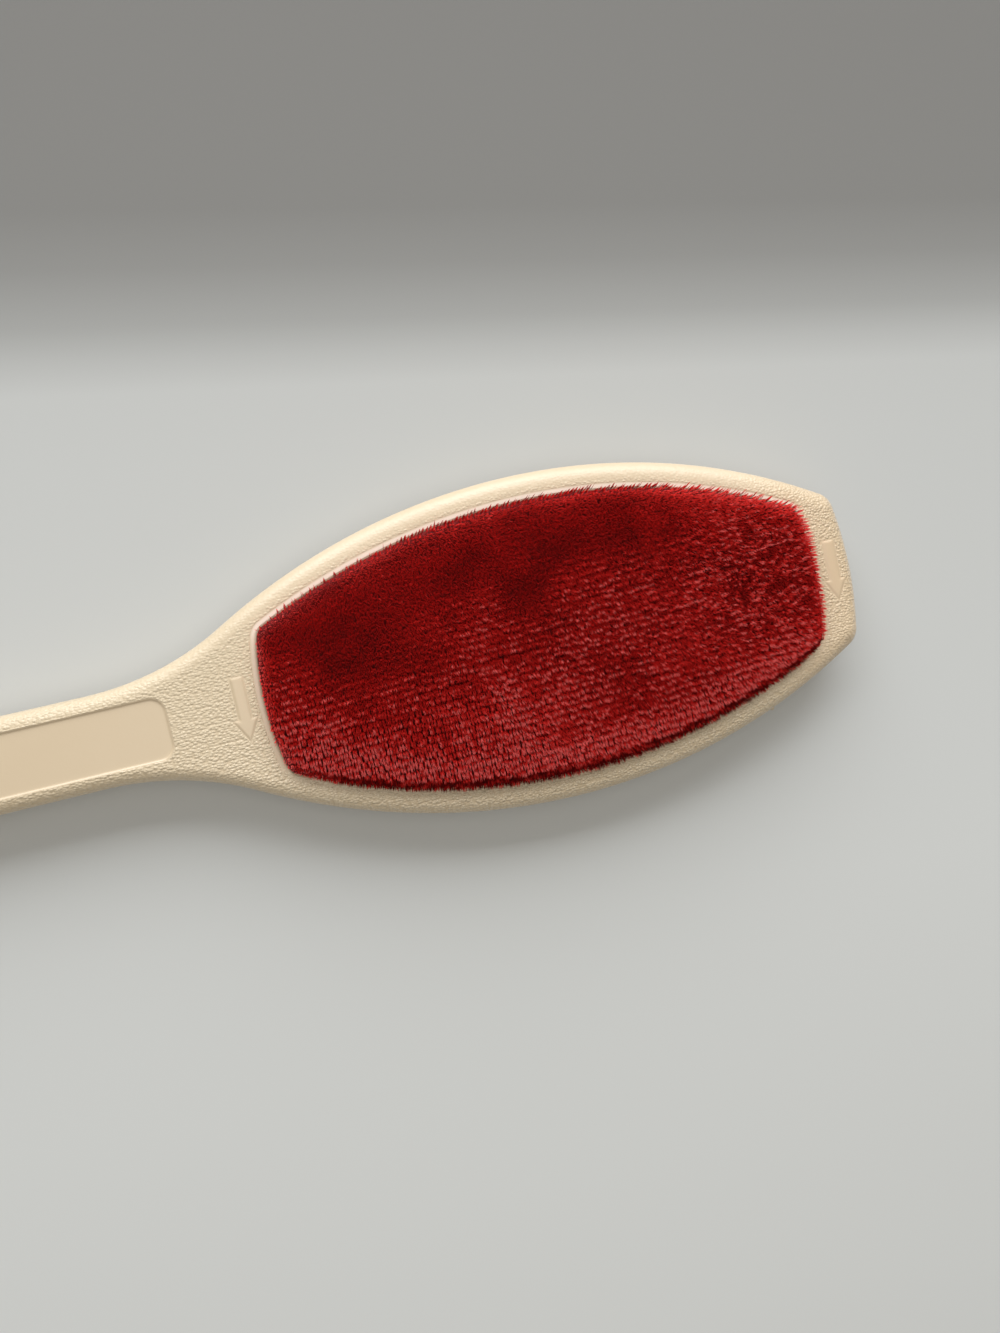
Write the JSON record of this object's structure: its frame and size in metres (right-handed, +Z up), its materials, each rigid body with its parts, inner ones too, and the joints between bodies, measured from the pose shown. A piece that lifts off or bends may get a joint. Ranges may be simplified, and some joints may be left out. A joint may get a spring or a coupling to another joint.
{
  "type": "double-sided lint brush",
  "caption": "Flat hand brush for lifting lint off cloth: a moulded head with a crowned pad of leaning pile on each face, a waisted neck and a slim handle with a hole to hang it by.",
  "frame": {"origin": "on the ground, under the centre of the whole brush as it lies on its back pad", "axes": "+X along the brush towards the tip of the head, +Y across it, +Z up, out of the front pad; the front arrows point along -Y"},
  "size_m": [0.31, 0.07, 0.0161],
  "materials": {
    "cream_plastic": "cream moulded plastic, semi-matt, with a fine leather-like grain and smooth arrows and label panel",
    "adhesive": "clear to pale yellow double-sided adhesive film, hidden under the pad",
    "foam": "off-white open-cell foam, hidden under the cloth",
    "ground_cloth": "dark red woven ground that holds the pile",
    "pile": "red velour pile in close rows, leaning one way, bright along the lie of the nap and dark against it"
  },
  "bodies": {
    "root": {"handle_body": "cream_plastic", "front_adhesive_film": "adhesive", "front_foam_pad": "foam", "front_ground_cloth": "ground_cloth", "front_pile": "pile", "back_adhesive_film": "adhesive", "back_foam_pad": "foam", "back_ground_cloth": "ground_cloth", "back_pile": "pile"}
  },
  "joints": []
}
